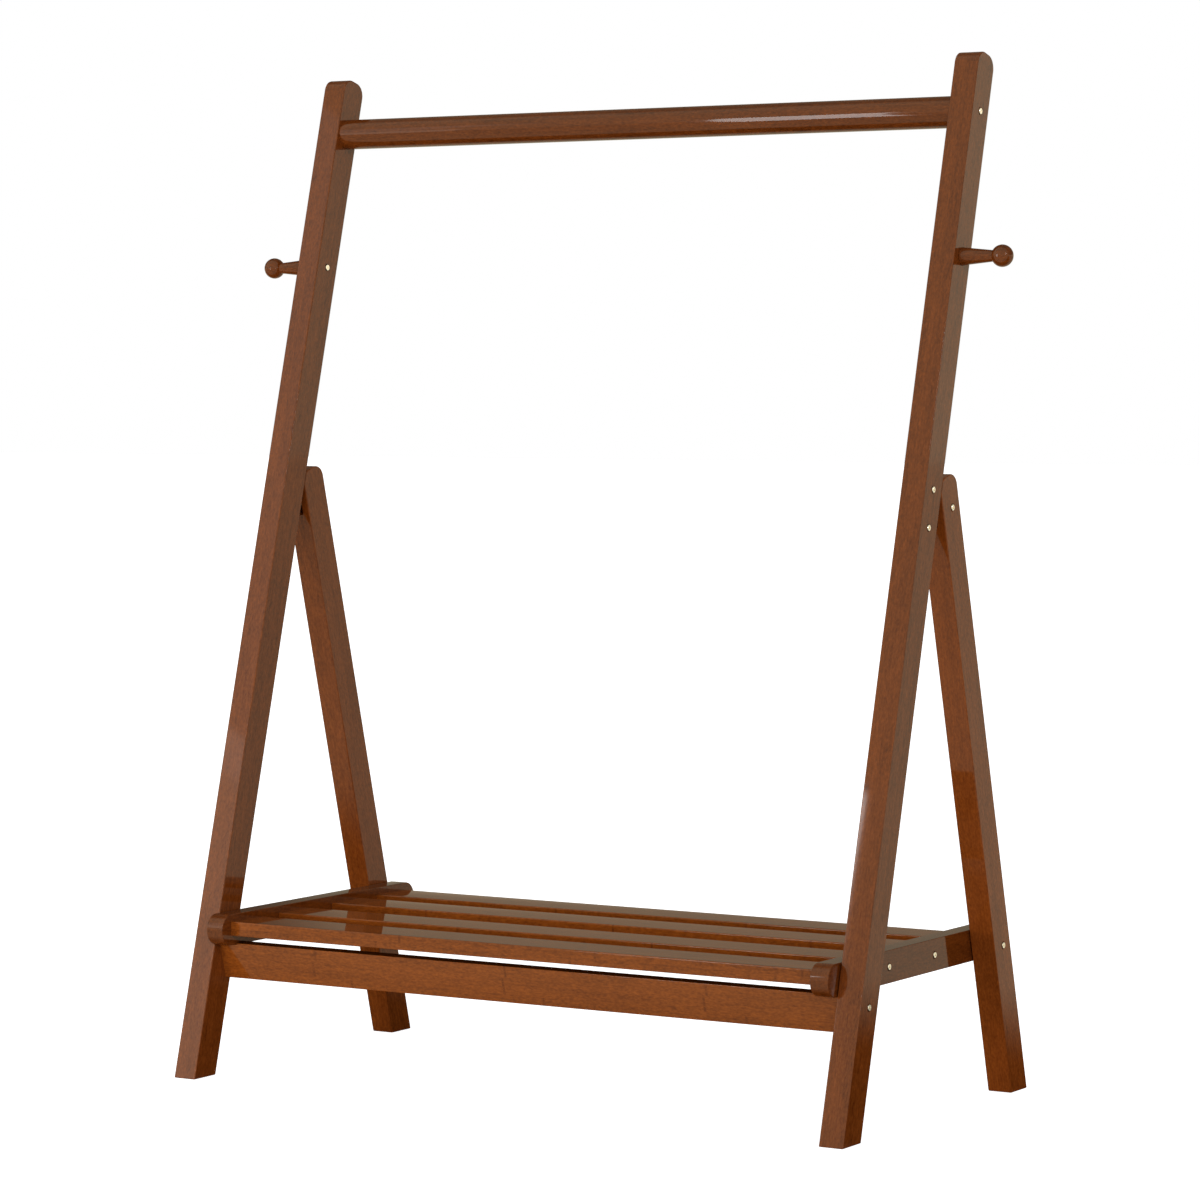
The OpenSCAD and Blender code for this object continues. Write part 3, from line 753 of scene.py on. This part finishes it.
# Studio surround: white all round, and a source of even soft light. In the lacquer it is warm,
# bright in front and low down behind, dim higher up behind, and dimmer at the far left there.
surround_light = 0.23
front_in_gloss = 1.1
low_behind_in_gloss = 1.10
high_behind_in_gloss = 0.27
bright_below = math.sin(math.radians(5.6))
dim_above = math.sin(math.radians(7.2))
left_dim_to = -0.585
left_clear_from = -0.560
left_dim_share = 0.3
side_half = 0.2


def mixed(tree, share, first, second):
    """The number at that share of the way from the first to the second."""
    return wired(tree, "ShaderNodeMix", {"Factor": share, 2: first, 3: second}).outputs[0]


bpy.context.scene.view_settings.view_transform = "Standard"
world = bpy.data.worlds.new("studio")
world.use_nodes = True
bpy.context.scene.world = world
tree = world.node_tree
background = tree.nodes["Background"]
outward = tree.nodes.new("ShaderNodeTexCoord").outputs["Generated"]
direction = wired(tree, "ShaderNodeSeparateXYZ", {0: outward}).outputs
behind = ramp(tree, direction[2], bright_below, dim_above, low_behind_in_gloss, high_behind_in_gloss)
left_dimmed = ramp(tree, direction[0], left_dim_to, left_clear_from, left_dim_share, 1.0)
behind = reckoned(tree, "MULTIPLY", behind, left_dimmed)
in_gloss = mixed(tree, ramp(tree, direction[1], -side_half, side_half), front_in_gloss, behind)
seen = tree.nodes.new("ShaderNodeLightPath").outputs
in_view = reckoned(tree, "MAXIMUM", seen["Is Camera Ray"], seen["Is Transmission Ray"])
level = mixed(tree, in_view, mixed(tree, seen["Is Glossy Ray"], surround_light, in_gloss), 1.0)
tree.links.new(level, background.inputs["Strength"])
tree.links.new(between(tree, seen["Is Glossy Ray"], white, warm_white), background.inputs["Color"])


# Studio lamps: soft light from the front right, the right and the rear, and from a wide low
# panel in front. The lacquer mirrors two panels at the left, a tall one that gleams along the
# hanging rod, and two small ones that sparkle on the pegs.
def lit(name, data, place, aim, mirrored):
    """Puts a light at a place and turns it to face a point. Glossy surfaces may mirror it."""
    light = bpy.data.objects.new(name, data)
    light.location = place
    light.rotation_euler = (Vector(aim) - Vector(place)).to_track_quat("-Z", "Y").to_euler()
    light.visible_glossy = mirrored
    bpy.context.scene.collection.objects.link(light)


def soft_sky(name, place, level, spread):
    """Even light from a wide disc of sky: a white surface that faces it shows that level."""
    data = bpy.data.lights.new(name, "SUN")
    data.energy = level * math.pi
    data.angle = math.radians(spread)
    lit(name, data, place, (0, 0, 0), mirrored=False)


def panel(name, place, aim, wide, high, brightness, color=(1, 1, 1), mirrored=True):
    """A rectangular softbox that faces a point and is that many times as bright as white."""
    data = bpy.data.lights.new(name, "AREA")
    data.shape = "RECTANGLE"
    data.size = wide
    data.size_y = high
    data.color = color
    data.energy = brightness * math.pi * wide * high
    lit(name, data, place, aim, mirrored)


soft_sky("front right", (2.0, -2.4, 1.2), level=0.31, spread=40)
soft_sky("right", (3.0, -0.7, 0.6), level=0.09, spread=40)
soft_sky("rear", (-1.2, 2.4, 2.6), level=0.25, spread=50)
panel("low front", (-0.6, -2.4, 0.28), (0, 0, 0.45), wide=3.0, high=0.5, brightness=4.3, mirrored=False)
panel("left low panel", (-3.1, -3.4, 1.45), (-0.5, -0.1, 0.3), wide=0.9, high=0.9, brightness=1.17,
      color=(1.0, 0.90, 0.80))
panel("left high panel", (-3.3, -3.4, 2.75), (-0.5, -0.1, 1.0), wide=1.0, high=1.7, brightness=0.47,
      color=(0.80, 0.90, 1.0))
panel("rod gleam", (-1.82, -3.75, 1.12), (0.26, 0.1, 1.12), wide=0.42, high=1.88, brightness=8)
panel("sparkle front", (2.35, -3.75, 1.5), (0.5, 0, 1.1), wide=0.12, high=0.12, brightness=30)
panel("sparkle right", (3.4, -1.3, 2.1), (0.5, 0, 1.1), wide=0.25, high=0.25, brightness=20)
